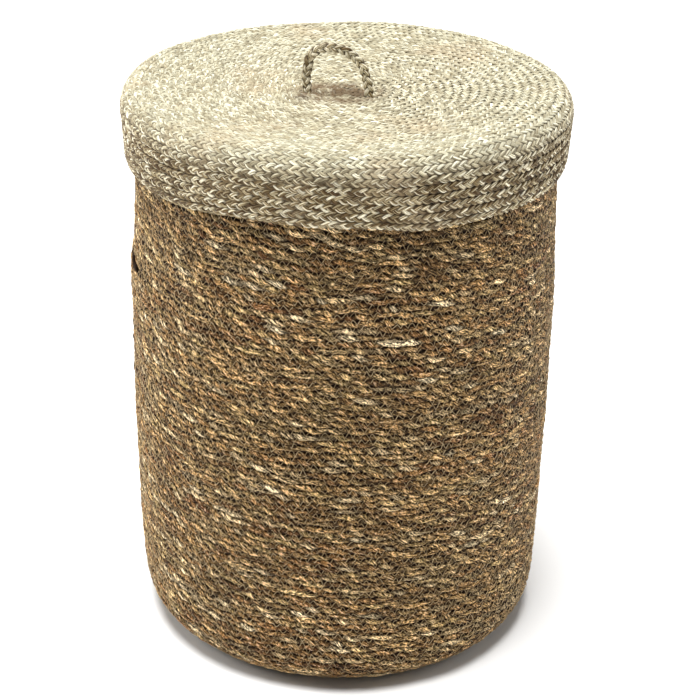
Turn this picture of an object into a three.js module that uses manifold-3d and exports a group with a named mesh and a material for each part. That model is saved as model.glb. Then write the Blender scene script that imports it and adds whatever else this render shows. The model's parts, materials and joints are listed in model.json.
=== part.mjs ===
// Round woven laundry basket with a cap-shaped lid and a braided loop handle.
// Millimetres, +Z up. The origin is the centre of the flat underside, on the floor.
// -Y is the front. The body is one coil of seagrass cord and the lid one coil of jute braid:
// each is cut here into plain solid bands that follow how the coil was built up.
import * as THREE from 'three';
import { mergeVertices } from 'three/addons/utils/BufferGeometryUtils.js';
import Module from 'manifold-3d';

const wasm = await Module();
wasm.setup();

// Driving dimensions of the body
const CORD = 6;                    // thickness of the coiled seagrass cord
const CORNER_RADIUS = 42;          // outside rounding between the base and the wall
const WALL_RADIUS_LOW = 190.5;     // outside, where the rounding ends
const WALL_RADIUS_MID = 195.6;     // outside, half way up
const WALL_RADIUS_TOP = 190.7;     // outside, level with the lid's lower edge
const RIM_HEIGHT = 514;            // floor to the top of the last coil row

// Driving dimensions of the lid
const LID_RADIUS = 200;
const LID_HEIGHT = 522;            // floor to the highest ring of the lid
const LID_SAG = 7;                 // how far the middle of the lid lies below that ring
const LID_EDGE_RADIUS = 19.5;
const BRAID = 5;                   // thickness of the coiled jute braid
const SKIRT_BOTTOM = 461;
const SKIRT_BOTTOM_RADIUS = 197;
const HEM_HEIGHT = 7.4;            // one braid row
const HEM_TUCK = 3.9;              // how far the lowest row curls in

// Driving dimensions of the two hand slots
const SLOT_HEIGHT_ABOVE_FLOOR = 362;
const SLOT_LENGTH = 110;
const SLOT_OPENING = 15;
const SLOT_BAND_HEIGHT = 44;       // the coil rows that part around the slots
const SLOT_TURN = 11;              // degrees that the slots' line is turned from the X axis
const SLOT_CUT_DEPTH = 60;         // of the cutter, through the curved wall

// Driving dimensions of the loop handle
const LOOP_CENTRE = new THREE.Vector2(-8, -14);
const LOOP_TURN = -13;             // degrees about Z
const LOOP_HALF_SPAN = 28.2;       // centre of the loop to the centre of a foot
const LOOP_WIDTH = 8.4;            // of the flat braid, in the loop's plane
const LOOP_THICKNESS = 5.2;        // of the flat braid, across the loop's plane
const LOOP_STEPS = 30;
const PIVOT_CLEARANCE = 0.5;       // between the round end of the loop and the foot below it
const KNOT_WIDTH = 18;
const KNOT_HEIGHT = 10;

// The line that the braid's middle follows between the two feet: [distance from the middle
// between them, height above the lid]. The loop has a square left shoulder and a sloping right one.
const LOOP_LINE = [
  [-28.8, 11], [-27.6, 22], [-25.4, 31], [-20.5, 37.4], [-13, 40.6], [-5, 41.4],
  [4, 40.2], [12.5, 36], [19.6, 29], [24.2, 19.5], [26.8, 10.5],
];

const GAP = 0.3;                   // between neighbouring solids
const AROUND = 48;                 // facets round the axis

const seagrass = { color: 0x9a7b4a, roughness: 0.85, metalness: 0 };
const jute = { color: 0xd8cdb0, roughness: 0.9, metalness: 0 };

const basket = new THREE.Group();

function addMesh(name, geometry, look, parent = basket) {
  const mesh = new THREE.Mesh(geometry, new THREE.MeshStandardMaterial(look));
  mesh.name = name;
  parent.add(mesh);
  return mesh;
}

// Turns a profile of [radius, height] points, listed anticlockwise, round the Z axis.
function turned(profile) {
  const points = profile.map(([radius, height]) => new THREE.Vector2(radius, height));
  if (points[0].x > 0) {
    points.push(points[0].clone());
  }
  return new THREE.LatheGeometry(points, AROUND).rotateX(Math.PI / 2);
}

function arc(centreRadius, centreHeight, radius, fromDegrees, toDegrees, steps) {
  const points = [];
  for (let i = 0; i <= steps; i += 1) {
    const angle = THREE.MathUtils.degToRad(fromDegrees + ((toDegrees - fromDegrees) * i) / steps);
    points.push([centreRadius + radius * Math.cos(angle), centreHeight + radius * Math.sin(angle)]);
  }
  return points;
}

// Evenly spaced values from low to high.
function spread(low, high, steps) {
  return Array.from({ length: steps + 1 }, (_, i) => low + ((high - low) * i) / steps);
}

function toManifold(geometry) {
  const bare = geometry.clone();
  bare.deleteAttribute('normal');
  bare.deleteAttribute('uv');
  const merged = mergeVertices(bare, 1e-4);
  return new wasm.Manifold(new wasm.Mesh({
    numProp: 3,
    vertProperties: new Float32Array(merged.attributes.position.array),
    triVerts: new Uint32Array(merged.index.array),
  }));
}

function toGeometry(manifold) {
  const mesh = manifold.getMesh();
  const geometry = new THREE.BufferGeometry();
  geometry.setAttribute('position', new THREE.BufferAttribute(mesh.vertProperties, 3));
  geometry.setIndex(new THREE.BufferAttribute(mesh.triVerts, 1));
  return geometry;
}

// Outside radius of the wall: a parabola through the three driving radii.
function wallRadius(height) {
  const t = (height - CORNER_RADIUS) / (SKIRT_BOTTOM - CORNER_RADIUS);
  return WALL_RADIUS_LOW * (1 - t) * (1 - 2 * t)
    + WALL_RADIUS_MID * 4 * t * (1 - t)
    + WALL_RADIUS_TOP * t * (2 * t - 1);
}

// A band of the wall, one cord thick.
function wallBand(low, high, steps) {
  const heights = spread(low, high, steps);
  const outside = heights.map((height) => [wallRadius(height), height]);
  const inside = heights.map((height) => [wallRadius(height) - CORD, height]).reverse();
  return turned([...outside, ...inside]);
}

// Height of the lid's outer face over a point at the given radius.
function lidTopHeight(radius) {
  const flatRadius = LID_RADIUS - LID_EDGE_RADIUS;
  return LID_HEIGHT - LID_SAG * (1 - (radius / flatRadius) ** 2);
}

// The coil starts as a flat disc and turns up through a rounded corner.
function addBase() {
  const flatRadius = WALL_RADIUS_LOW - CORNER_RADIUS;
  addMesh('base_coil', turned([[0, 0], [flatRadius - GAP, 0], [flatRadius - GAP, CORD], [0, CORD]]), seagrass);
  const outside = arc(flatRadius, CORNER_RADIUS, CORNER_RADIUS, -90, 0, 5);
  const inside = arc(flatRadius, CORNER_RADIUS, CORNER_RADIUS - CORD, 0, -90, 5);
  addMesh('corner_coil', turned([...outside, ...inside]), seagrass);
}

// Lens-shaped cutters for the two opposite hand slots.
function slotCutter(direction) {
  const lens = new THREE.Shape();
  lens.moveTo(-SLOT_LENGTH / 2, 0);
  lens.quadraticCurveTo(0, -SLOT_OPENING, SLOT_LENGTH / 2, 0);
  lens.quadraticCurveTo(0, SLOT_OPENING, -SLOT_LENGTH / 2, 0);
  const cutter = new THREE.ExtrudeGeometry(lens, {
    depth: SLOT_CUT_DEPTH, bevelEnabled: false, curveSegments: 8,
  });
  cutter.translate(0, 0, WALL_RADIUS_MID - SLOT_CUT_DEPTH / 2);
  cutter.rotateX(Math.PI / 2);
  cutter.rotateZ(THREE.MathUtils.degToRad(direction));
  cutter.translate(0, 0, SLOT_HEIGHT_ABOVE_FLOOR);
  return toManifold(cutter);
}

function addWall() {
  const slotLow = SLOT_HEIGHT_ABOVE_FLOOR - SLOT_BAND_HEIGHT / 2;
  const slotHigh = SLOT_HEIGHT_ABOVE_FLOOR + SLOT_BAND_HEIGHT / 2;
  const rimCentre = RIM_HEIGHT - CORD / 2;
  addMesh('wall_lower_coil', wallBand(CORNER_RADIUS + GAP, slotLow - GAP, 4), seagrass);
  const left = slotCutter(-90 + SLOT_TURN);
  const right = slotCutter(90 + SLOT_TURN);
  const slotBand = toManifold(wallBand(slotLow, slotHigh, 1)).subtract(left).subtract(right);
  addMesh('wall_slot_coil', toGeometry(slotBand), seagrass);
  addMesh('wall_upper_coil', wallBand(slotHigh + GAP, rimCentre - CORD / 2 - GAP, 2), seagrass);
  const rimRadius = wallRadius(rimCentre) - CORD / 2;
  const rimSection = arc(rimRadius, rimCentre, CORD / 2, 0, 315, 7);
  addMesh('rim_row', turned(rimSection), seagrass);
}

function footPlaces() {
  const turn = THREE.MathUtils.degToRad(LOOP_TURN);
  return [-1, 1].map((side) => new THREE.Vector2(
    LOOP_CENTRE.x + side * LOOP_HALF_SPAN * Math.cos(turn),
    LOOP_CENTRE.y + side * LOOP_HALF_SPAN * Math.sin(turn),
  ));
}

// A box round a foot of the loop, turned with the loop and larger by the gap on every side.
function footBox(place, gap, low, high) {
  const box = new THREE.BoxGeometry(LOOP_WIDTH + 2 * gap, LOOP_THICKNESS + 2 * gap, high - low);
  box.rotateZ(THREE.MathUtils.degToRad(LOOP_TURN));
  box.translate(place.x, place.y, (low + high) / 2);
  return toManifold(box);
}

function addLid() {
  const flatRadius = LID_RADIUS - LID_EDGE_RADIUS;
  const edgeHeight = LID_HEIGHT - LID_EDGE_RADIUS;
  const radii = spread(0, flatRadius - GAP, 4);
  const outside = radii.map((radius) => [radius, lidTopHeight(radius)]).reverse();
  const inside = radii.map((radius) => [radius, lidTopHeight(radius) - BRAID]);
  let top = toManifold(turned([...inside, ...outside]));
  for (const place of footPlaces()) {
    top = top.subtract(footBox(place, 2 * GAP, LID_HEIGHT - 4 * BRAID, LID_HEIGHT + BRAID));
  }
  addMesh('lid_top_coil', toGeometry(top), jute);

  const edgeOutside = arc(flatRadius, edgeHeight, LID_EDGE_RADIUS, 0, 90, 4);
  const edgeInside = arc(flatRadius, edgeHeight, LID_EDGE_RADIUS - BRAID, 90, 0, 4);
  addMesh('lid_edge_coil', turned([...edgeOutside, ...edgeInside]), jute);

  const hemTop = SKIRT_BOTTOM + HEM_HEIGHT;
  addMesh('lid_skirt_coil', turned([
    [SKIRT_BOTTOM_RADIUS, hemTop + GAP],
    [LID_RADIUS, edgeHeight - GAP],
    [LID_RADIUS - BRAID, edgeHeight - GAP],
    [SKIRT_BOTTOM_RADIUS - BRAID, hemTop + GAP],
  ]), jute);

  addMesh('lid_hem_row', turned([
    [SKIRT_BOTTOM_RADIUS - HEM_TUCK, SKIRT_BOTTOM],
    [SKIRT_BOTTOM_RADIUS - HEM_TUCK / 3, SKIRT_BOTTOM + HEM_HEIGHT / 3],
    [SKIRT_BOTTOM_RADIUS, hemTop],
    [SKIRT_BOTTOM_RADIUS - BRAID, hemTop],
    [SKIRT_BOTTOM_RADIUS - BRAID - GAP, SKIRT_BOTTOM],
  ]), jute);
}

// The braid's route in the loop's own plane. Heights are from the pivot line through both feet.
function loopRoute(pivotAboveLid) {
  const points = LOOP_LINE.map(([x, height]) => new THREE.Vector3(x, 0, height - pivotAboveLid));
  const left = new THREE.Vector3(-LOOP_HALF_SPAN, 0, 0);
  const right = new THREE.Vector3(LOOP_HALF_SPAN, 0, 0);
  return new THREE.CatmullRomCurve3([left, ...points, right]);
}

// The loop's section, with bevelled corners: its width lies in the loop's plane.
function flatBraidSection() {
  const x = LOOP_THICKNESS / 2;
  const y = LOOP_WIDTH / 2;
  const bevel = 0.75 * x;
  return new THREE.Shape([
    new THREE.Vector2(-x, -y + bevel),
    new THREE.Vector2(-x + bevel, -y),
    new THREE.Vector2(x - bevel, -y),
    new THREE.Vector2(x, -y + bevel),
    new THREE.Vector2(x, y - bevel),
    new THREE.Vector2(x - bevel, y),
    new THREE.Vector2(-x + bevel, y),
    new THREE.Vector2(-x, y - bevel),
  ]);
}

function addHandle() {
  const lidSurface = lidTopHeight(LOOP_CENTRE.length());
  const pivotAboveLid = LOOP_THICKNESS / 2 + PIVOT_CLEARANCE;
  const extrudePath = loopRoute(pivotAboveLid);
  let loop = toManifold(new THREE.ExtrudeGeometry(flatBraidSection(), { steps: LOOP_STEPS, extrudePath }));
  for (const side of [-1, 1]) {
    const end = new THREE.CylinderGeometry(LOOP_THICKNESS / 2, LOOP_THICKNESS / 2, LOOP_WIDTH, 16);
    end.rotateZ(Math.PI / 2);
    end.translate(side * LOOP_HALF_SPAN, 0, 0);
    loop = loop.add(toManifold(end));
  }
  const loopMesh = addMesh('handle_loop', toGeometry(loop), jute);
  loopMesh.rotation.z = THREE.MathUtils.degToRad(LOOP_TURN);
  loopMesh.position.set(LOOP_CENTRE.x, LOOP_CENTRE.y, lidSurface + pivotAboveLid);

  // Each end of the braid goes through the lid and is knotted under it.
  const names = ['handle_end_left', 'handle_end_right'];
  footPlaces().forEach((place, i) => {
    const underside = lidTopHeight(place.length()) - BRAID - 2 * GAP;
    const knot = new THREE.SphereGeometry(KNOT_WIDTH / 2, 14, 8);
    knot.rotateX(Math.PI / 2);
    knot.scale(1, 1, KNOT_HEIGHT / KNOT_WIDTH);
    knot.translate(place.x, place.y, underside - KNOT_HEIGHT / 2);
    const shaft = footBox(place, 0, underside - KNOT_HEIGHT / 2, lidSurface);
    addMesh(names[i], toGeometry(toManifold(knot).add(shaft)), jute);
  });
}

addBase();
addWall();
addLid();
addHandle();

export default basket;
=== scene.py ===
"""A round laundry basket coiled from seagrass cord, with a braided jute lid and a loop handle.

The wall, base and lid are built as what they are: one two-ply cord and one flat three-strand
braid, each following a spiral over the CAD shape, with a zig-zag thread sewn across the rows.
Everything is in metres, in the CAD model's frame: +Z up, -Y to the front.
"""

import json
import math

import bpy
import numpy as np
from mathutils import Matrix, Vector


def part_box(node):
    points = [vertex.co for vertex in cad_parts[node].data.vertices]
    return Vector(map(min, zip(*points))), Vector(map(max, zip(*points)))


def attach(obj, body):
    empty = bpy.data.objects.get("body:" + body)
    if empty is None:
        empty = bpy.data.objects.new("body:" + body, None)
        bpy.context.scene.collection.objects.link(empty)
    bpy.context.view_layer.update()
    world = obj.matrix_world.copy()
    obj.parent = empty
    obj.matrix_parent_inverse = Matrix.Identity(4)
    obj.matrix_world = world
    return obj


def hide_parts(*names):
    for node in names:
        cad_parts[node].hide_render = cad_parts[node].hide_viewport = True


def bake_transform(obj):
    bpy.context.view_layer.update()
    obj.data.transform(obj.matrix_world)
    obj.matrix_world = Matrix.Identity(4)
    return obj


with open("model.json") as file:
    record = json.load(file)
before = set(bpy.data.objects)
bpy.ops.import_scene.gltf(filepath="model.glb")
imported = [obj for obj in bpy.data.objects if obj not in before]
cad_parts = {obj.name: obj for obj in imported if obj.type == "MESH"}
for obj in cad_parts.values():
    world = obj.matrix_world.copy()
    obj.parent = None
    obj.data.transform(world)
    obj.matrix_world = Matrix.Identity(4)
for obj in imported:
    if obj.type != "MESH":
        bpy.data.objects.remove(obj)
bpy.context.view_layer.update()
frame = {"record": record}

MM = 0.001
TURN = 2 * math.pi


# ---------------------------------------------------------------- measures taken from the frame

def half_width(node):
    low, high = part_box(node)
    return (high.x - low.x) / 2


def opening_centre(name):
    for opening in frame["record"]["physics"]["openings"]:
        if opening["name"] == name:
            low, high = opening["box_m"]
            return (Vector(low) + Vector(high)) / 2
    raise ValueError(name)


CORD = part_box("base_coil")[1].z                       # thickness of the coil
CORNER_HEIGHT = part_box("corner_coil")[1].z
WALL_LOW = half_width("corner_coil")
WALL_MID = half_width("wall_lower_coil")
RIM_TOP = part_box("rim_row")[1].z
RIM_RADIUS = half_width("rim_row")
SLOTS = [opening_centre("hand_slot_left"), opening_centre("hand_slot_right")]

LID_RADIUS = half_width("lid_edge_coil")
LID_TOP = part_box("lid_edge_coil")[1].z
LID_EDGE = LID_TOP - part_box("lid_edge_coil")[0].z     # radius of the rounded edge
LID_THICKNESS = 5 * MM
LID_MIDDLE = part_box("lid_top_coil")[0].z + LID_THICKNESS    # upper face at the lid's centre
SKIRT_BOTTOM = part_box("lid_hem_row")[0].z
HEM_RADIUS = half_width("lid_hem_row")

LOOP_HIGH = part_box("handle_loop")[1]
FEET = [(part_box(n)[0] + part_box(n)[1]) / 2 for n in ("handle_end_left", "handle_end_right")]


# ---------------------------------------------------------------- small helpers

STRIP_MARGIN = 0.04            # between the strips of the map that holds a piece's colours


def smooth(low, high, x):
    """A smooth step from 0 at low to 1 at high."""
    t = np.clip((x - low) / (high - low), 0, 1)
    return t * t * (3 - 2 * t)


def ripples(seed, count, longest, shortest):
    """A smooth random field over two coordinates in metres, mostly within -1 to 1.

    It is a sum of waves, with lengths between shortest and longest.
    """
    rng = np.random.default_rng(seed)
    waves = TURN / np.exp(rng.uniform(math.log(shortest), math.log(longest), count))
    headings = rng.uniform(0, math.pi, count)
    phases = rng.uniform(0, TURN, count)

    def field(u, v):
        total = 0
        for wave, heading, phase in zip(waves, headings, phases):
            total = total + np.sin(wave * (u * np.cos(heading) + v * np.sin(heading)) + phase)
        return total / math.sqrt(count)

    return field


def wander(seed, along, scale):
    """Smooth random values at distances along a line, with features about scale long."""
    rng = np.random.default_rng(seed)
    knots = rng.standard_normal(int(along[-1] / scale) + 3)
    at = along / scale
    whole = at.astype(int)
    part = at - whole
    part = part * part * (3 - 2 * part)
    return knots[whole] * (1 - part) + knots[whole + 1] * part


def unit(vectors):
    return vectors / np.linalg.norm(vectors, axis=-1, keepdims=True)


def distances(place):
    """Each point's distance along the polyline through all of them."""
    steps = np.linalg.norm(np.diff(place, axis=0), axis=1)
    return np.concatenate([[0], np.cumsum(steps)])


def around(centre, first, first_by, second, second_by):
    """Rings round a line: how far each point lies from it in two directions."""
    return centre[:, None] + first[:, None] * first_by[..., None] + second[:, None] * second_by[..., None]


def build_tube(name, rings, along, round_share, tones, strips, material):
    """A closed tube through rings of points, an array of (ring, point, 3).

    along is each ring's distance in metres and round_share each point's share of the way round:
    they make the map that the fibres follow. tones holds three values for each point: hue, lightness
    and crest, from which the materials paint shade in the hollows. strips is how many rings lie side by
    side in one strip of the map that holds the piece's colours.
    """
    count, sides = rings.shape[:2]
    index = np.arange(count * sides).reshape(count, sides)
    right = np.roll(index, -1, axis=1)
    quads = np.stack([index[:-1], right[:-1], right[1:], index[1:]], axis=-1).reshape(-1, 4)
    mesh = bpy.data.meshes.new(name)
    mesh.vertices.add(count * sides)
    mesh.vertices.foreach_set("co", rings.astype(np.float32).ravel())
    mesh.loops.add(quads.size + 2 * sides)
    corners = np.concatenate([quads.ravel(), index[0, ::-1], index[-1]])
    mesh.loops.foreach_set("vertex_index", corners.astype(np.int32))
    starts = np.append(np.arange(0, quads.size, 4), [quads.size, quads.size + sides])
    mesh.polygons.add(len(starts))
    mesh.polygons.foreach_set("loop_start", starts.astype(np.int32))

    def corner_values(ring_values, point_values):
        """Values at each corner, where the last point of a ring meets the first one."""
        sides_after = np.append(point_values[1:], 1.0)
        u = np.stack([ring_values[0]] * 2 + [ring_values[1]] * 2, axis=-1)
        u = np.repeat(u[:, None, :], sides, axis=1)
        v = np.stack([point_values, sides_after, sides_after, point_values], axis=-1)
        v = np.repeat(v[None], count - 1, axis=0)
        both = np.stack([u, v], axis=-1).reshape(-1, 2)
        return np.concatenate([both, np.zeros((2 * sides, 2))])

    fibre = mesh.uv_layers.new(name="fibre")
    values = corner_values((along[:-1], along[1:]), round_share)
    fibre.uv.foreach_set("vector", values.astype(np.float32).ravel())
    ring = np.arange(count - 1)
    strip = ring // strips
    strip_count = strip.max() + 1
    places = ((ring % strips) / strips, (ring % strips + 1) / strips)
    values = corner_values(places, round_share)
    strip_of_corner = np.repeat(strip, sides * 4)
    inside = values[:len(strip_of_corner)]
    inside[:, 1] = (strip_of_corner + STRIP_MARGIN + (1 - 2 * STRIP_MARGIN) * inside[:, 1]) / strip_count
    values[len(strip_of_corner):] = 0.5 / strip_count
    packed = mesh.uv_layers.new(name="OFBake")
    packed.uv.foreach_set("vector", values.astype(np.float32).ravel())

    tone = mesh.attributes.new("tone", "FLOAT_COLOR", "POINT")
    colours = np.ones((count * sides, 4), np.float32)
    colours[:, :3] = tones.reshape(-1, 3)
    tone.data.foreach_set("color", colours.ravel())
    mesh.polygons.foreach_set("use_smooth", np.ones(len(starts), bool))
    mesh.update(calc_edges=True)
    mesh.materials.append(material)
    piece = bpy.data.objects.new(name, mesh)
    bpy.context.scene.collection.objects.link(piece)
    return piece


# ---------------------------------------------------------------- camera, lights and floor

CAMERA_ELEVATION = math.radians(26.2)
CAMERA_DISTANCE = 1.792
CAMERA_LENS = 98.5
CAMERA_ROLL = math.radians(0.9)
CAMERA_SHIFT = (0.0070, -0.0013)
FLOOR_HALF_SIZE = 6


def add_camera():
    data = bpy.data.cameras.new("camera")
    data.lens = CAMERA_LENS
    data.sensor_width = 36
    data.shift_x, data.shift_y = CAMERA_SHIFT
    camera = bpy.data.objects.new("camera", data)
    bpy.context.scene.collection.objects.link(camera)
    back = Vector((0, -math.cos(CAMERA_ELEVATION), math.sin(CAMERA_ELEVATION)))
    target = Vector((0, 0, LID_TOP / 2))
    place = Matrix.Translation(target + back * CAMERA_DISTANCE)
    aim = back.to_track_quat("Z", "Y").to_matrix().to_4x4()
    camera.matrix_world = place @ aim @ Matrix.Rotation(CAMERA_ROLL, 4, "Z")
    bpy.context.scene.camera = camera


def add_softbox(name, place, target, size, power):
    data = bpy.data.lights.new(name, "AREA")
    data.shape = "SQUARE"
    data.size = size
    data.energy = power
    light = bpy.data.objects.new(name, data)
    bpy.context.scene.collection.objects.link(light)
    light.location = place
    direction = Vector(target) - Vector(place)
    light.rotation_euler = direction.to_track_quat("-Z", "Y").to_euler()


def add_sun(name, towards_light, strength, spread):
    """A soft light from very far away, so that it falls off nowhere on the floor."""
    data = bpy.data.lights.new(name, "SUN")
    data.energy = strength
    data.angle = math.radians(spread)
    light = bpy.data.objects.new(name, data)
    bpy.context.scene.collection.objects.link(light)
    light.rotation_euler = Vector(towards_light).to_track_quat("Z", "Y").to_euler()


def add_studio():
    middle = (0, 0, 0.3)
    add_sun("overhead_light", (-0.07, -0.07, 1.0), 6.0, 30)
    add_softbox("left_softbox", (-2.2, 0.3, 1.2), middle, 1.2, 31)
    add_softbox("right_softbox", (2.3, 0.5, 1.0), middle, 1.2, 15)
    world = bpy.data.worlds.new("studio")
    world.use_nodes = True
    background = world.node_tree.nodes["Background"]
    background.inputs["Color"].default_value = (1.0, 0.99, 0.97, 1)
    background.inputs["Strength"].default_value = 0.18
    bpy.context.scene.world = world
    bpy.context.scene.view_settings.view_transform = "Standard"


def add_floor():
    size = FLOOR_HALF_SIZE
    mesh = bpy.data.meshes.new("floor")
    mesh.from_pydata([(-size, -size, 0), (size, -size, 0), (size, size, 0), (-size, size, 0)],
                     [], [(0, 1, 2, 3)])
    floor = bpy.data.objects.new("floor", mesh)
    bpy.context.scene.collection.objects.link(floor)
    material = bpy.data.materials.new("pale_floor")
    material.use_nodes = True
    shader = material.node_tree.nodes["Principled BSDF"]
    shader.inputs["Base Color"].default_value = (0.78, 0.78, 0.775, 1)
    shader.inputs["Roughness"].default_value = 0.9
    mesh.materials.append(material)


# ---------------------------------------------------------------- materials

class Nodes:
    """Short ways to add and link a material's nodes."""

    def __init__(self, name):
        self.material = bpy.data.materials.new(name)
        self.material.use_nodes = True
        self.tree = self.material.node_tree
        self.shader = self.tree.nodes["Principled BSDF"]

    def add(self, kind, inputs=None, **settings):
        node = self.tree.nodes.new(kind)
        for key, value in settings.items():
            setattr(node, key, value)
        for key, value in (inputs or {}).items():
            self.put(node, key, value)
        return node

    def put(self, node, key, value):
        if isinstance(value, bpy.types.NodeSocket):
            self.tree.links.new(value, node.inputs[key])
        else:
            node.inputs[key].default_value = value

    def maths(self, operation, first, second):
        node = self.add("ShaderNodeMath", {0: first, 1: second}, operation=operation)
        return node.outputs[0]

    def scaled(self, vector, by):
        node = self.add("ShaderNodeVectorMath", {0: vector, 1: by}, operation="MULTIPLY")
        return node.outputs[0]

    def added(self, first, second):
        node = self.add("ShaderNodeVectorMath", {0: first, 1: second}, operation="ADD")
        return node.outputs[0]

    def shaded(self, colour, light):
        """The colour times a plain number."""
        grey = self.add("ShaderNodeCombineColor", {0: light, 1: light, 2: light}).outputs[0]
        return self.mix(1.0, colour, grey, "MULTIPLY")

    def noise(self, vector, scale, detail=2.0, roughness=0.5):
        node = self.add("ShaderNodeTexNoise", {"Vector": vector, "Scale": scale,
                                               "Detail": detail, "Roughness": roughness})
        return node.outputs["Fac"]

    def span(self, value, low, high, to_low, to_high):
        """A number that goes from to_low to to_high while the value goes from low to high."""
        node = self.add("ShaderNodeMapRange", {0: value, 1: low, 2: high, 3: to_low, 4: to_high})
        return node.outputs[0]

    def mix(self, share, first, second, blend="MIX"):
        node = self.add("ShaderNodeMix", data_type="RGBA", blend_type=blend)
        for socket, value in ((0, share), (6, first), (7, second)):
            self.put(node, socket, value)
        return node.outputs[2]

    def ramp(self, value, stops):
        node = self.add("ShaderNodeValToRGB", {0: value})
        colours = node.color_ramp
        while len(colours.elements) < len(stops):
            colours.elements.new(1.0)
        for element, (place, colour) in zip(colours.elements, stops):
            element.position = place
            element.color = (*colour, 1)
        return node.outputs[0]


def seagrass_material():
    """Dried seagrass: each blade has its own colour, with mottled fibres that run along the ply, painted
    highlights on its crests and painted shade in its hollows.
    """
    n = Nodes("seagrass")
    fibre = n.add("ShaderNodeUVMap", uv_map="fibre").outputs[0]
    tone = n.add("ShaderNodeAttribute", attribute_name="tone").outputs["Color"]
    parts = n.add("ShaderNodeSeparateColor", {0: tone})
    hue, value, crest = parts.outputs[0], parts.outputs[1], parts.outputs[2]
    place = n.add("ShaderNodeTexCoord").outputs["Object"]
    blade = n.ramp(hue, [
        (0.00, (0.120, 0.050, 0.015)),
        (0.16, (0.210, 0.102, 0.033)),
        (0.34, (0.300, 0.172, 0.062)),
        (0.50, (0.380, 0.238, 0.100)),
        (0.62, (0.335, 0.226, 0.088)),
        (0.74, (0.450, 0.312, 0.152)),
        (0.88, (0.560, 0.430, 0.250)),
        (1.00, (0.700, 0.580, 0.370)),
    ])
    patches = n.noise(place, 7, detail=3)
    blade = n.mix(n.span(patches, 0.42, 0.66, 0, 0.4), blade, (0.30, 0.198, 0.078, 1))

    own = n.scaled(tone, (31, 47, 0))        # moves each blade to its own part of the noise
    streaks = n.noise(n.added(n.scaled(fibre, (150, 13, 1)), own), 1, detail=4, roughness=0.7)
    mottle = n.noise(n.added(n.scaled(fibre, (420, 20, 1)), own), 1, detail=3, roughness=0.6)
    colour = n.shaded(blade, n.span(streaks, 0.43, 0.59, 0.12, 2.20))
    colour = n.shaded(colour, n.span(mottle, 0.45, 0.57, 0.24, 1.95))
    # painted highlights: pale glints on the blades' crests, where the light catches their shiny edges
    painted_glints = n.maths("MULTIPLY", n.span(streaks, 0.53, 0.60, 0, 1), n.span(mottle, 0.50, 0.58, 0, 1))
    painted_glints = n.maths("MULTIPLY", painted_glints, n.span(crest, 0.45, 0.8, 0, 0.7))
    colour = n.mix(painted_glints, colour, (0.80, 0.71, 0.55, 1))
    colour = n.shaded(colour, n.span(value, 0, 1, 0.54, 1.37))
    # painted shade: near black down in the hollows between the plies and between the rows
    painted_hollow_shade = n.span(crest, 0.22, 0.97, 1.0, 0.0)
    colour = n.mix(painted_hollow_shade, colour, (0.016, 0.007, 0.003, 1))

    n.put(n.shader, "Base Color", colour)
    n.put(n.shader, "Roughness", n.span(streaks, 0.3, 0.7, 0.80, 0.58))
    n.shader.inputs["Specular IOR Level"].default_value = 0.15
    relief = n.maths("ADD", streaks, n.maths("MULTIPLY", mottle, 0.5))
    bump = n.add("ShaderNodeBump", {"Strength": 0.9, "Distance": 0.0007, "Height": relief})
    n.put(n.shader, "Normal", bump.outputs[0])
    return n.material


def thread_material():
    """Pale twisted sewing thread."""
    n = Nodes("sewing_thread")
    fibre = n.add("ShaderNodeUVMap", uv_map="fibre").outputs[0]
    place = n.add("ShaderNodeTexCoord").outputs["Object"]
    twist = n.add("ShaderNodeTexWave", {"Vector": n.scaled(fibre, (900, 1, 1)), "Scale": 1.0,
                                        "Distortion": 0.6}, wave_type="BANDS").outputs["Fac"]
    patches = n.noise(place, 60, detail=2)
    colour = n.mix(twist, (0.26, 0.165, 0.070, 1), (0.52, 0.37, 0.19, 1))
    colour = n.mix(n.span(patches, 0.4, 0.7, 0, 0.6), colour, (0.68, 0.53, 0.31, 1))
    n.put(n.shader, "Base Color", colour)
    n.put(n.shader, "Roughness", n.span(patches, 0, 1, 0.6, 0.8))
    bump = n.add("ShaderNodeBump", {"Strength": 0.5, "Distance": 0.0002, "Height": twist})
    n.put(n.shader, "Normal", bump.outputs[0])
    return n.material


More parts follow.
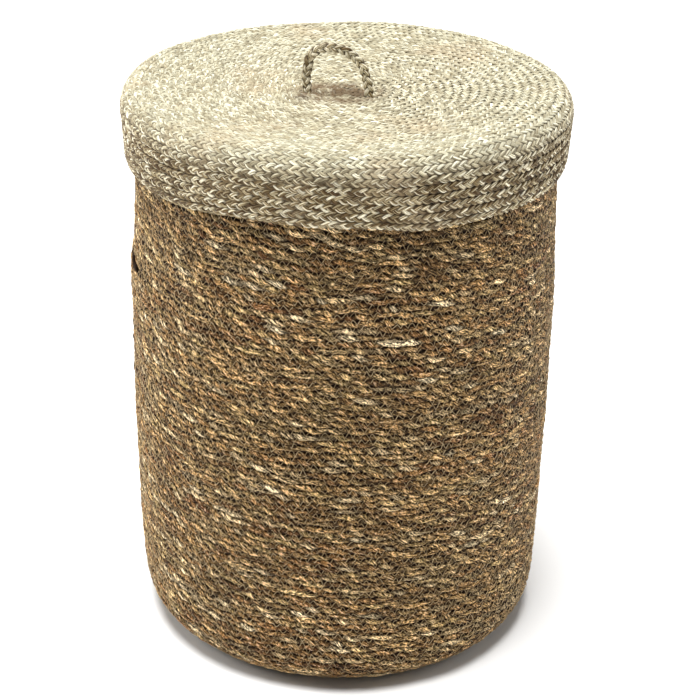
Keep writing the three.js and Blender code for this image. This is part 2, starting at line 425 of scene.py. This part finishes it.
def jute_material(name, hollow, hollow_reach, paler, top_above, stains_and_shades):
    """Bleached jute: pale and natural yarns side by side, with painted shade in the hollows.

    hollow is how dark the painted shade in the hollows is and hollow_reach how far up the yarns that
    goes. paler shifts the yarns towards white; for the handle that is painted light, for the little
    light that falls on the loop's upright face. Above the height that comes next, the yarns take paler,
    flatter colours and weaker painted shade, as the overhead light fills their hollows there. Each entry
    of the list after it is a centre, a scale for each direction, the distances where it starts and has
    ended to fade, its share and its colour: real stain marks and painted shade spots alike, and inside
    each the painted shade in the hollows grows stronger.
    """
    n = Nodes(name)
    fibre = n.add("ShaderNodeUVMap", uv_map="fibre").outputs[0]
    tone = n.add("ShaderNodeAttribute", attribute_name="tone").outputs["Color"]
    parts = n.add("ShaderNodeSeparateColor", {0: tone})
    hue, value, crest = parts.outputs[0], parts.outputs[1], parts.outputs[2]
    place = n.add("ShaderNodeTexCoord").outputs["Object"]
    height = n.add("ShaderNodeSeparateXYZ", {0: place}).outputs["Z"]
    # the top of the lid: yarns take paler, flatter colours here, and the painted shade in their hollows
    # weakens
    top_share = n.span(height, top_above - 22 * MM, top_above, 0, 1)

    own = n.scaled(tone, (0, 53, 0))         # moves each yarn to its own part of the noise
    yarns = n.noise(n.added(n.scaled(fibre, (45, 8, 1)), own), 1, detail=1)
    along_yarn = n.span(yarns, 0.40, 0.60, -0.22 + paler, 0.50 + paler)
    mixed = n.maths("ADD", n.maths("MULTIPLY", hue, 0.72), along_yarn)
    yarn = n.ramp(mixed, [
        (0.00, (0.075, 0.040, 0.013)),
        (0.26, (0.165, 0.106, 0.042)),
        (0.50, (0.295, 0.222, 0.110)),
        (0.72, (0.590, 0.500, 0.310)),
        (1.00, (0.940, 0.875, 0.680)),
    ])
    top_yarn = n.ramp(mixed, [
        (0.00, (0.300, 0.258, 0.160)),
        (0.40, (0.425, 0.390, 0.270)),
        (0.75, (0.540, 0.512, 0.375)),
        (1.00, (0.740, 0.720, 0.570)),
    ])
    yarn = n.mix(top_share, yarn, top_yarn)
    patches = n.noise(place, 14, detail=3)
    yarn = n.mix(n.span(patches, 0.53, 0.68, 0, 0.4), yarn, (0.45, 0.350, 0.220, 1))
    fine = n.noise(n.added(n.scaled(fibre, (330, 24, 1)), own), 1, detail=3, roughness=0.65)
    colour = n.shaded(yarn, n.span(fine, 0.4, 0.6, 0.68, 1.25))
    colour = n.shaded(colour, n.span(value, 0, 1, 0.75, 1.2))

    spots = n.span(n.noise(place, 70, detail=3), 0.42, 0.56, 0.35, 1)
    # painted shade: weaker on the lid's top, where the overhead light fills the hollows
    depth = n.span(top_share, 0, 1, 1, 0.65)
    # the list holds real stain marks and painted shade spots; each darkens the colour towards its own and
    # strengthens the painted shade in the hollows inside it
    for centre, scale, near, far, share, brown in stains_and_shades:
        apart = n.add("ShaderNodeVectorMath", {0: place, 1: centre}, operation="SUBTRACT").outputs[0]
        reach = n.add("ShaderNodeVectorMath", {0: n.scaled(apart, scale)}, operation="LENGTH")
        stain_and_shade = n.maths("MULTIPLY", n.span(reach.outputs["Value"], near, far, share, 0), spots)
        colour = n.mix(stain_and_shade, colour, brown)
        depth = n.maths("MAXIMUM", depth, stain_and_shade)
    # painted shade: the colour goes to near black in the hollows, where crest is low
    shade = n.maths("MULTIPLY", n.span(crest, 0.0, hollow_reach, hollow, 0.0), depth)
    colour = n.mix(shade, colour, (0.070, 0.042, 0.018, 1))

    n.put(n.shader, "Base Color", colour)
    n.put(n.shader, "Roughness", n.span(fine, 0.2, 0.8, 0.9, 0.7))
    n.shader.inputs["Specular IOR Level"].default_value = 0.25
    n.shader.inputs["Sheen Weight"].default_value = 0.1
    bump = n.add("ShaderNodeBump", {"Strength": 0.8, "Distance": 0.0004, "Height": fine})
    n.put(n.shader, "Normal", bump.outputs[0])
    return n.material


# ---------------------------------------------------------------- the body's coil

ROW = 5.9 * MM                 # from one row of the coil to the next
LAY = 34 * MM                  # length of one full twist of the two-ply cord
STEPS_A_TURN = 540             # rings round one turn of the coil
FIRST_TURN = 0.6               # the coil starts as a small eye in the middle of the base
TURNS_A_PIECE = 14

WALL_STARTS = 0.16             # distance from the base's middle where the wall's unevenness sets in
WALL_UPRIGHT = 0.26            # and where it is full
SWAY = 1.6 * MM                # of the rows, up and down
BULGE = 1.0 * MM               # of the wall, in and out
NARROWER = 2.5 * MM            # the wall below the skirt than the CAD shape
NARROWER_LESS = 1.4 * MM       # how much less of that in the lower part
LEAN = 1.8 * MM                # of the lower part, to the left
LOWER_PART = (0.40, 0.35)      # heights where the lower part starts and where its lean is full

SLOT_HALF_LENGTH = 55 * MM
SLOT_HALF_OPENING = 4.5 * MM
SLOT_POINTEDNESS = 2.5         # of its ends
SLOT_REACH = 30 * MM           # how far above and below a slot the rows are pushed apart
UPPER_LIP_IN = 1.5 * MM        # the rows above a slot sink in, most at the slot
UPPER_LIP_REACH = 45 * MM
LOWER_LIP_OUT = 0.3 * MM       # and the rows below it stand out
LOWER_LIP_REACH = 30 * MM

PLY_RADIUS = 2.05 * MM
PLY_APART = 1.15 * MM          # of a ply's centre from the cord's
SQUEEZE = 1.19                 # each cord's height is about this share of a row, or more
DRIFT_UP = 0.14 * MM           # of the cord from its place in the row
DRIFT_OUT = 0.28 * MM
PALE_SHARE = 0.02              # of the blades


def body_profile():
    """The line that the cord's centre follows from the middle of the base up to the rim.

    Returns distance along it, radius, height, and the outward direction's two components.
    """
    inset = CORD / 2
    flat = WALL_LOW - CORNER_HEIGHT
    corner = np.linspace(-math.pi / 2, 0, 60)
    heights = np.linspace(CORNER_HEIGHT, RIM_TOP - inset, 300)[1:]
    middle = (CORNER_HEIGHT + SKIRT_BOTTOM) / 2
    bulge = np.polyfit([CORNER_HEIGHT, middle, RIM_TOP - inset], [WALL_LOW, WALL_MID, RIM_RADIUS], 2)
    radius = np.concatenate([np.linspace(0, flat, 80)[:-1],
                             flat + (CORNER_HEIGHT - inset) * np.cos(corner),
                             np.polyval(bulge, heights) - inset])
    height = np.concatenate([np.full(79, inset),
                             CORNER_HEIGHT + (CORNER_HEIGHT - inset) * np.sin(corner),
                             heights])
    line = np.stack([radius, height], axis=1)
    tangent = unit(np.gradient(line, axis=0))
    return distances(line), radius, height, tangent[:, 1], -tangent[:, 0]


BODY = body_profile()
BODY_TURNS = BODY[0][-1] / ROW
sway = ripples(11, 14, 0.50, 0.10)
bulging = ripples(12, 14, 0.45, 0.09)


def body_surface(level, azimuth):
    """Centre of the cord, outward and along-the-wall directions at a level, counted in rows."""
    along, radius, height, out_radius, out_height = BODY
    azimuth = np.asarray(azimuth)
    arc = azimuth % TURN * WALL_MID
    upright = smooth(WALL_STARTS, WALL_UPRIGHT, level * ROW)
    at = level * ROW + upright * SWAY * sway(arc, level * ROW)
    r = np.interp(at, along, radius)
    z = np.interp(at, along, height)
    n_r = np.interp(at, along, out_radius)
    n_z = np.interp(at, along, out_height)
    r = r + upright * BULGE * bulging(arc, z)
    below_lid = smooth(SKIRT_BOTTOM + 20 * MM, SKIRT_BOTTOM - 10 * MM, z)
    lower = smooth(*LOWER_PART, z)
    r = r - below_lid * upright * (NARROWER - NARROWER_LESS * lower)
    r = r - LEAN * lower * upright * np.cos(azimuth)
    for slot in SLOTS:
        off = (azimuth - math.atan2(slot.y, slot.x) + math.pi) % TURN - math.pi
        side = (level - off / TURN) - slot_gap_level(slot)
        reach = np.clip(1 - (off * WALL_MID / SLOT_HALF_LENGTH) ** 2, 0, None) ** SLOT_POINTEDNESS
        fade = np.exp(-np.clip(np.abs(side) - 0.5, 0, None) * ROW / SLOT_REACH)
        z = z + np.sign(side) * SLOT_HALF_OPENING * reach * fade
        wide = np.exp(-(off * WALL_MID / (1.1 * SLOT_HALF_LENGTH)) ** 4)
        above = UPPER_LIP_IN * np.exp(-np.clip(side, 0, None) * ROW / UPPER_LIP_REACH) * (side > 0)
        below = LOWER_LIP_OUT * np.exp(np.clip(side, None, 0) * ROW / LOWER_LIP_REACH) * (side < 0)
        r = r + wide * (below - above)
    cos, sin = np.cos(azimuth), np.sin(azimuth)
    place = np.stack([r * cos, r * sin, z], axis=-1)
    out = np.stack([n_r * cos, n_r * sin, n_z + 0 * cos], axis=-1)
    up = np.stack([-n_z * cos, -n_z * sin, n_r + 0 * cos], axis=-1)
    return place, out, up


def slot_gap_level(slot):
    """The level midway between the two rows that part at a slot, at the slot's own azimuth."""
    along, _, height = BODY[:3]
    azimuth = math.atan2(slot.y, slot.x) % TURN
    level = np.interp(slot.z, height, along) / ROW
    return round(level - azimuth / TURN - 0.5) + 0.5 + azimuth / TURN


def ply_profile(psi):
    """Outline of two soft plies pressed together, as a radius for each angle."""
    across = PLY_APART * np.sin(psi)
    return PLY_APART * np.abs(np.cos(psi)) + np.sqrt(PLY_RADIUS ** 2 - across ** 2)


def draw_blades(count):
    """Each blade's size, hue and lightness."""
    rng = np.random.default_rng(31)
    size = rng.normal(1.0, 0.08, count).clip(0.82, 1.25)
    hue = rng.beta(1.9, 2.3, count)
    light = rng.beta(2.0, 2.0, count)
    pale = rng.random(count) < PALE_SHARE
    hue[pale] = rng.uniform(0.78, 0.92, pale.sum())
    return size, hue, light


def cord_rings(place, out, up, along):
    """The two-ply cord along a line: its rings, their points' shares of the way round, and tones."""
    place = place + up * (DRIFT_UP * wander(25, along, 28 * MM).clip(-1.5, 1.5))[:, None]
    place = place + out * (DRIFT_OUT * wander(26, along, 20 * MM))[:, None]
    spin = 1.5 * wander(21, along, 32 * MM) + 0.35 * wander(22, along, 10 * MM)
    twist = -TURN * along / LAY + spin

    psi = np.radians(np.arange(0, 360, 30))
    outline = ply_profile(psi)
    blades = int(along[-1] / LAY * 2) + 60
    size, blade_hue, blade_light = draw_blades(blades)

    theta = psi[None, :] + twist[:, None]
    ply = (np.cos(psi) < -1e-6).astype(int)
    count = -(twist[:, None] + math.pi * ply[None, :]) / TURN
    blade = (np.floor(count + 0.5).astype(int) * 2 + ply[None, :]) % blades
    groove = (np.abs(np.cos(psi)) < 1e-6)[None, :]
    swell = np.where(groove, 0.98, size[blade])
    radius = outline[None, :] * swell * (1 + 0.035 * wander(23, along, 6 * MM))[:, None]
    a = radius * np.cos(theta) * 0.96
    b = radius * np.sin(theta)
    tall = np.abs(b).max(axis=1)
    fill = ROW / 2 * (SQUEEZE + 0.02 * wander(24, along, 12 * MM))
    b = b * np.maximum(1, fill / tall)[:, None]
    rings = around(place, out, a, up, b)
    rings[..., 2] = rings[..., 2].clip(0, None)

    # crest: how far a point stands out from the cord; the seagrass material paints shade where it is low
    # and highlights where it is high
    crest = smooth(0.6 * MM, 2.9 * MM, np.abs(a))
    light = blade_light[blade] + 0.12 * wander(27, along, 110 * MM)[:, None]
    tones = np.stack([blade_hue[blade], light.clip(0, 1), crest], axis=-1)
    return rings, psi / TURN, tones


def add_body_coil(material):
    last = int((BODY_TURNS - FIRST_TURN) * STEPS_A_TURN)
    level = FIRST_TURN + np.arange(last) / STEPS_A_TURN
    place, out, up = body_surface(level, TURN * level)
    along = distances(place)
    rings, round_share, tones = cord_rings(place, out, up, along)

    pieces = []
    rings_each = TURNS_A_PIECE * STEPS_A_TURN
    for i, start in enumerate(range(0, last - 1, rings_each)):
        part = slice(start, min(start + rings_each + 1, last))
        piece = build_tube(f"seagrass_coil_{i + 1}", rings[part], along[part] - along[part][0],
                           round_share, tones[part], STEPS_A_TURN, material)
        pieces.append(piece)
    return pieces


STROKE = 3.3 * MM              # of the zig-zag seam, along the row
STROKE_HALF_RISE = 0.42        # of a row
LONGEST_STROKE = 9 * MM        # a longer one would cross a slot, so the thread is cut there
STROKES_A_PIECE = 13000
FEWEST_STROKES = 3             # of a stretch between two cuts that is worth a piece
FEWEST_RINGS = 9
THREAD = 0.36 * MM             # radius


def thread_rings(points, radius):
    """Three-sided rings round a polyline."""
    tangent = unit(np.gradient(points, axis=0))
    side = unit(np.cross(tangent, np.array([0.13, 0.21, 0.97])))
    other = np.cross(side, tangent)
    angles = np.radians([90, 210, 330])
    return (points[:, None] + radius * (side[:, None] * np.cos(angles)[None, :, None]
                                        + other[:, None] * np.sin(angles)[None, :, None]))


def seam_points():
    """The zig-zag thread's points: where the needle goes through, and between those, midway.

    Returns them with how many times the needle goes through and the length of each stroke.
    """
    level = np.arange(FIRST_TURN + 1, BODY_TURNS - 1.5, 1 / 360)
    along = distances(body_surface(level + 0.5, TURN * level)[0])
    strokes = int(along[-1] / STROKE)
    rng = np.random.default_rng(41)
    at = np.linspace(0, along[-1], strokes) + rng.normal(0, 0.45 * MM, strokes)
    level = np.interp(at, along, level)
    zig = np.where(np.arange(strokes) % 2 == 0, 1, -1) * STROKE_HALF_RISE
    zig = zig * rng.normal(1, 0.25, strokes)
    needle, out, _ = body_surface(level + 0.5 + zig, TURN * level)
    needle = needle + out * (CORD / 2 - 0.5 * MM)
    middle_level = (level[1:] + level[:-1]) / 2
    middle, out, _ = body_surface(middle_level + 0.5, TURN * middle_level)
    sunk = rng.uniform(-2.4, 0.4, strokes - 1) - np.where(np.arange(strokes - 1) % 2 == 0, 0.5, 0)
    middle = middle + out * (CORD / 2 + sunk[:, None] * MM)
    points = np.empty((2 * strokes - 1, 3))
    points[0::2] = needle
    points[1::2] = middle
    points[:, 2] = points[:, 2].clip(THREAD, None)
    return points, strokes, np.linalg.norm(needle[1:] - needle[:-1], axis=1)


def add_body_seam(material):
    points, strokes, lengths = seam_points()
    cuts = np.flatnonzero(lengths > LONGEST_STROKE) + 1
    stretches = []
    for run in np.split(np.arange(strokes), cuts):
        if len(run) < FEWEST_STROKES:
            continue
        for first in range(0, len(run) - 1, STROKES_A_PIECE):
            part = run[first:first + STROKES_A_PIECE + 1]
            stretches.append(thread_rings(points[2 * part[0]:2 * part[-1] + 1], THREAD))

    pieces = []
    for i, rings in enumerate(stretches):
        if len(rings) < FEWEST_RINGS:
            continue
        along = np.arange(len(rings)) * STROKE / 2
        tones = np.ones((*rings.shape[:2], 3))
        piece = build_tube(f"body_seam_{i + 1}", rings, along, np.array([0, 1 / 3, 2 / 3]),
                           tones, 600, material)
        pieces.append(piece)
    return pieces


# ---------------------------------------------------------------- the lid's braid

BRAID_ROW = 7.5 * MM
LID_REPEAT = 20 * MM           # one strand's way across the braid and back
LOOP_REPEAT = 20 * MM
BRAID_REACH = 2.75 * MM        # of a strand's centre to each side
BRAID_RISE = 0.70 * MM         # of a strand's centre above and below the braid's middle
STRAND_HALF_WIDTH = 1.7 * MM
STRAND_HALF_THICKNESS = 1.2 * MM
YARN_GROOVE = 0.30 * MM        # between the strand's two yarns
BRAID_INSET = 2.3 * MM         # of the braid's middle from the CAD shape's face
HEM_CURL = 1.6 * MM            # of the lowest row, inwards
STRAND_STEP = 1.5 * MM         # from ring to ring
CORE_HALF_THICKNESS = 0.7 * MM
CORE_SUNK = 0.2 * MM

LID_WAVES = 0.5 * MM           # all over
LID_SAG = 1.1 * MM             # of the outer part, up and down
LID_OUT_OF_ROUND = 0.8 * MM
LID_BACK_RISE = 2.0 * MM
LID_LEFT_BULGE = 2.2 * MM      # towards LID_BULGE_AZIMUTH
LID_BULGE_AZIMUTH = math.radians(157)
LEFT_DROP = 6.0 * MM           # of the skirt
RIGHT_DROP = 4.5 * MM


def lid_profile():
    """As body_profile, from the middle of the lid out over the edge and down the skirt."""
    inset = BRAID_INSET
    flat = LID_RADIUS - LID_EDGE
    r_top = np.linspace(0, flat, 120)
    z_top = LID_TOP - (LID_TOP - LID_MIDDLE) * (1 - (r_top / flat) ** 2) - inset
    corner = np.linspace(math.pi / 2, 0, 50)[1:]
    z_skirt = np.linspace(LID_TOP - LID_EDGE, SKIRT_BOTTOM + inset, 80)[1:]
    share = (z_skirt - SKIRT_BOTTOM) / (LID_TOP - LID_EDGE - SKIRT_BOTTOM)
    r_skirt = HEM_RADIUS + (LID_RADIUS - HEM_RADIUS) * share - inset
    r_skirt = r_skirt - HEM_CURL * (1 - smooth(0.0, 0.16, share))
    radius = np.concatenate([r_top, flat + (LID_EDGE - inset) * np.cos(corner), r_skirt])
    height = np.concatenate([z_top, LID_TOP - LID_EDGE + (LID_EDGE - inset) * np.sin(corner), z_skirt])
    line = np.stack([radius, height], axis=1)
    tangent = unit(np.gradient(line, axis=0))
    return distances(line), radius, height, -tangent[:, 1], tangent[:, 0]


LID = lid_profile()
LID_TURNS = LID[0][-1] / BRAID_ROW
lid_waves = ripples(51, 10, 0.35, 0.08)
lid_sag = ripples(52, 8, 0.9, 0.25)


def skirt_drop(azimuth):
    """How far the skirt hangs lower at the sides than at the front and the back."""
    from_front = (azimuth + 0.5 * math.pi + math.pi) % TURN - math.pi
    left = LEFT_DROP * smooth(0.42, 0.85, -from_front)
    right = RIGHT_DROP * smooth(0.08, 0.35, from_front)
    return (left + right) * (1 - smooth(2.2, math.pi, np.abs(from_front)))


def lid_surface(level, azimuth):
    """As body_surface: the braid's middle, the way that its face looks and the way across it."""
    along, radius, height, out_radius, out_height = LID
    at = level * BRAID_ROW
    r = np.interp(at, along, radius)
    z = np.interp(at, along, height)
    n_r = np.interp(at, along, out_radius)
    n_z = np.interp(at, along, out_height)
    x, y = r * np.cos(azimuth), r * np.sin(azimuth)
    outer = smooth(0.06, 0.19, r)
    z = z + LID_WAVES * lid_waves(x, y) + outer * LID_SAG * lid_sag(x, y)
    z = z + outer * LID_BACK_RISE * (0.5 + 0.5 * np.sin(azimuth + 0.3)) ** 2
    r = r + outer * LID_OUT_OF_ROUND * lid_sag(x + 0.4, y)
    r = r + outer * LID_LEFT_BULGE * np.clip(np.cos(azimuth - LID_BULGE_AZIMUTH), 0, None) ** 8
    z = z - skirt_drop(azimuth) * smooth(LID_TOP - LID_EDGE / 2, SKIRT_BOTTOM, z)
    cos, sin = np.cos(azimuth), np.sin(azimuth)
    place = np.stack([r * cos, r * sin, z], axis=-1)
    out = np.stack([n_r * cos, n_r * sin, n_z + 0 * cos], axis=-1)
    side = np.stack([n_z * cos, n_z * sin, -n_r + 0 * cos], axis=-1)
    return place, out, side


def strand_rings(place, out, side, along, repeat, strand, seed):
    """One two-yarn strand of a flat three-strand braid that follows a line.

    out is the way that the braid's face looks and side the way across it.
    """
    t = TURN * along / repeat + strand * TURN / 3
    t = t + 0.22 * wander(seed, along, 24 * MM)
    reach = BRAID_REACH * (1 + 0.07 * wander(seed + 1, along, 17 * MM))
    path = (place + side * (reach * np.sin(t))[:, None]
            + out * (BRAID_RISE * np.sin(2 * t))[:, None])
    forward = unit(np.gradient(path, axis=0))
    across = unit(np.cross(out, forward))
    up = np.cross(forward, across)
    psi = np.radians([0, 40, 68, 90, 112, 140, 180, 225, 270, 315])
    section_a = STRAND_HALF_WIDTH * np.cos(psi)
    section_b = STRAND_HALF_THICKNESS * np.sign(np.sin(psi)) * np.abs(np.sin(psi)) ** 0.8
    section_b[3] -= YARN_GROOVE
    plump = (1 + 0.07 * wander(seed + 2, along, 12 * MM))[:, None]
    a = section_a[None, :] * plump
    b = section_b[None, :] * plump
    rings = around(path, across, a, up, b)
    # crest: how far a point stands above the braid's middle; the jute material paints shade where it is low
    height = np.sin(2 * t)[:, None] * BRAID_RISE + b
    crest = smooth(0.1 * MM, 1.6 * MM, np.abs(height))
    rng = np.random.default_rng(seed)
    crossing = np.floor(t / math.pi + 0.25).astype(int) + 2
    yarn = np.array([0, 0, 0, 0, 1, 1, 1, 1, 0, 0])      # of each point round the strand
    hues = rng.beta(0.9, 1.1, (crossing.max() + 1, 2))[crossing][:, yarn]
    lights = rng.beta(2.2, 2.2, crossing.max() + 1)[crossing]
    tones = np.stack([hues, np.broadcast_to(lights[:, None], crest.shape), crest], axis=-1)
    return rings, psi / TURN, tones


def add_lid_braid(material):
    """The three strands, each in two lengths, and a core that fills the holes between them."""
    level = np.arange(0.35, LID_TURNS, 1 / 2000)
    along = distances(lid_surface(level, TURN * level)[0])
    at = np.arange(0, along[-1], STRAND_STEP)
    level = np.interp(at, along, level)
    place, out, side = lid_surface(level, TURN * level)
    halves = (slice(0, len(at) // 2 + 1), slice(len(at) // 2, len(at)))
    pieces = []
    for strand in range(3):
        seed = 61 + 5 * strand
        rings, round_share, tones = strand_rings(place, out, side, at, LID_REPEAT, strand, seed)
        for name, half in zip(("inner", "outer"), halves):
            piece = build_tube(f"lid_braid_strand_{strand + 1}_{name}", rings[half], at[half] - at[half][0],
                               round_share, tones[half], 500, material)
            pieces.append(piece)
    pieces.append(add_lid_core(material))
    return pieces


def add_lid_core(material):
    level = np.arange(0.02, LID_TURNS, 1 / 320)
    place, out, side = lid_surface(level, TURN * level)
    psi = np.radians([0, 45, 90, 135, 180, 270])
    a = np.cos(psi) * BRAID_ROW * 0.53
    b = np.sin(psi) * CORE_HALF_THICKNESS - CORE_SUNK
    rings = around(place, side, a[None, :], out, b[None, :])
    tones = np.full((*rings.shape[:2], 3), 0.5)
    # a low crest, so the jute material paints the core with the shade of the braid's hollows
    tones[..., 2] = 0.15
    return build_tube("lid_braid_core", rings, distances(place), psi / TURN, tones, 250, material)


# ---------------------------------------------------------------- the loop handle

LOOP_HALF_WIDTH = BRAID_REACH + STRAND_HALF_WIDTH
LOOP_STEP = 0.8 * MM           # from ring to ring
KNOT_SIZE = 3.0 * MM
KNOT_CORD = (1.9 * MM, 1.7 * MM)


def loop_line():
    """The middle of the loop's braid, from under the lid on the left, over, and down again.

    Each point is a share of the half span across and of the height up. Returns the points and the
    way that the braid's face looks.
    """
    left, right = FEET
    middle = (left + right) / 2
    along = (right - left).normalized()
    half = (right - left).length / 2
    foot = LID_MIDDLE
    top = LOOP_HIGH.z - LOOP_HALF_WIDTH - foot
    shape = [(-1, -0.22), (-1, 0), (-1.02, 0.27), (-0.98, 0.53), (-0.90, 0.75), (-0.73, 0.90),
             (-0.46, 0.98), (-0.18, 1.0), (0.14, 0.97), (0.44, 0.87), (0.695, 0.70), (0.86, 0.47),
             (0.95, 0.25), (1, 0), (1, -0.22)]
    points = np.array([[middle.x + u * half * along.x, middle.y + u * half * along.y, foot + w * top]
                       for u, w in shape])
    return points, np.array([along.y, -along.x, 0.0])


def spline(points, step):
    """A smooth line through points (Catmull-Rom) with even steps, and the distances along it."""
    ends = np.concatenate([[2 * points[0] - points[1]], points, [2 * points[-1] - points[-2]]])
    fine = []
    for i in range(1, len(ends) - 2):
        a, b, c, d = ends[i - 1:i + 3]
        t = np.linspace(0, 1, 40, endpoint=False)[:, None]
        fine.append(0.5 * (2 * b + (c - a) * t + (2 * a - 5 * b + 4 * c - d) * t ** 2
                           + (3 * b - a - 3 * c + d) * t ** 3))
    line = np.concatenate(fine + [points[-1:]])
    along = distances(line)
    at = np.arange(0, along[-1], step)
    return np.stack([np.interp(at, along, line[:, k]) for k in range(3)], axis=1), at


def add_loop(material):
    points, face = loop_line()
    line, along = spline(points, LOOP_STEP)
    tangent = unit(np.gradient(line, axis=0))
    out = np.broadcast_to(face, line.shape)
    side = unit(np.cross(out, tangent))
    pieces = []
    for strand in range(3):
        seed = 81 + 5 * strand
        rings, round_share, tones = strand_rings(line, out, side, along, LOOP_REPEAT, strand, seed)
        piece = build_tube(f"loop_strand_{strand + 1}", rings, along, round_share, tones, 200, material)
        pieces.append(piece)
    return pieces


def add_knot(name, foot, material):
    """The end of the braid, tied in an overhand knot under the lid."""
    t = np.linspace(0.12, 0.93, 90) * TURN
    x = KNOT_SIZE * (np.sin(t) + 2 * np.sin(2 * t)) * 0.8
    y = KNOT_SIZE * (np.cos(t) - 2 * np.cos(2 * t)) * 0.8
    z = -KNOT_SIZE * np.sin(3 * t) * 0.7
    centre = np.array([foot.x, foot.y, foot.z - 1.5 * MM])
    line = centre + np.stack([x, y, z], axis=1)
    tangent = unit(np.gradient(line, axis=0))
    out = unit(np.cross(tangent, np.array([0.0, 0.0, 1.0])))
    up = np.cross(out, tangent)
    psi = np.linspace(0, TURN, 12, endpoint=False)
    a = np.cos(psi) * KNOT_CORD[0]
    b = np.sin(psi) * KNOT_CORD[1]
    rings = around(line, out, a[None, :], up, b[None, :])
    tones = np.full((*rings.shape[:2], 3), 0.6)
    tones[..., 2] = 0.9
    return build_tube(name, rings, distances(line), psi / TURN, tones, 90, material)


# ---------------------------------------------------------------- put together

add_camera()
add_studio()
add_floor()

seagrass = seagrass_material()
thread = thread_material()
middle = (FEET[0] + FEET[1]) / 2
middle.z = LID_MIDDLE
brown = (0.120, 0.072, 0.032, 1)
# the colour of the painted shade for a hole in the braid
hole_shade_brown = (0.040, 0.022, 0.010, 1)
between_feet = (middle + Vector((1 * MM, 4 * MM, 0)), (1, 1.5, 3.2), 30 * MM, 52 * MM, 0.9, brown)
by_left_foot = FEET[0] + Vector((-3 * MM, -16 * MM, 0))
# painted shade: a dark spot for a hole in the braid in front of the left foot
hole_shade_by_left_foot = (by_left_foot, (1, 1.3, 0.3), 5 * MM, 10 * MM, 1.0, hole_shade_brown)
# painted shade: darkens the inner side of the loop's left leg, which turns from the light
loop_inner_shade = (middle + Vector((-5 * MM, 0, 14 * MM)), (1, 1, 1), 19 * MM, 23.5 * MM, 1.0, brown)
jute = jute_material("jute", 0.90, 0.75, 0.0, LID_TOP - 3 * MM, [between_feet, hole_shade_by_left_foot])
# the handle's jute: yarns made paler as painted light, for the little light on the loop's upright face,
# with stronger painted shade in its hollows
handle_jute_painted_light = jute_material("handle_jute_painted_light", 1.0, 0.95, 0.5, LID_TOP + 1.0, [loop_inner_shade])

body_pieces = add_body_coil(seagrass)
for piece in body_pieces:
    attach(piece, "basket")
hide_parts("base_coil", "corner_coil", "wall_lower_coil", "wall_slot_coil",
            "wall_upper_coil", "rim_row")
for piece in add_body_seam(thread):
    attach(piece, "basket")

lid_pieces = add_lid_braid(jute)
for piece in lid_pieces:
    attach(piece, "lid")
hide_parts("lid_top_coil", "lid_edge_coil", "lid_skirt_coil", "lid_hem_row")

loop_pieces = add_loop(handle_jute_painted_light)
for piece in loop_pieces:
    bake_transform(piece)
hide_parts("handle_loop")
for name, foot in zip(("left", "right"), FEET):
    knot = add_knot(f"end_knot_{name}", foot, handle_jute_painted_light)
    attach(knot, "lid")
    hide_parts(f"handle_end_{name}")
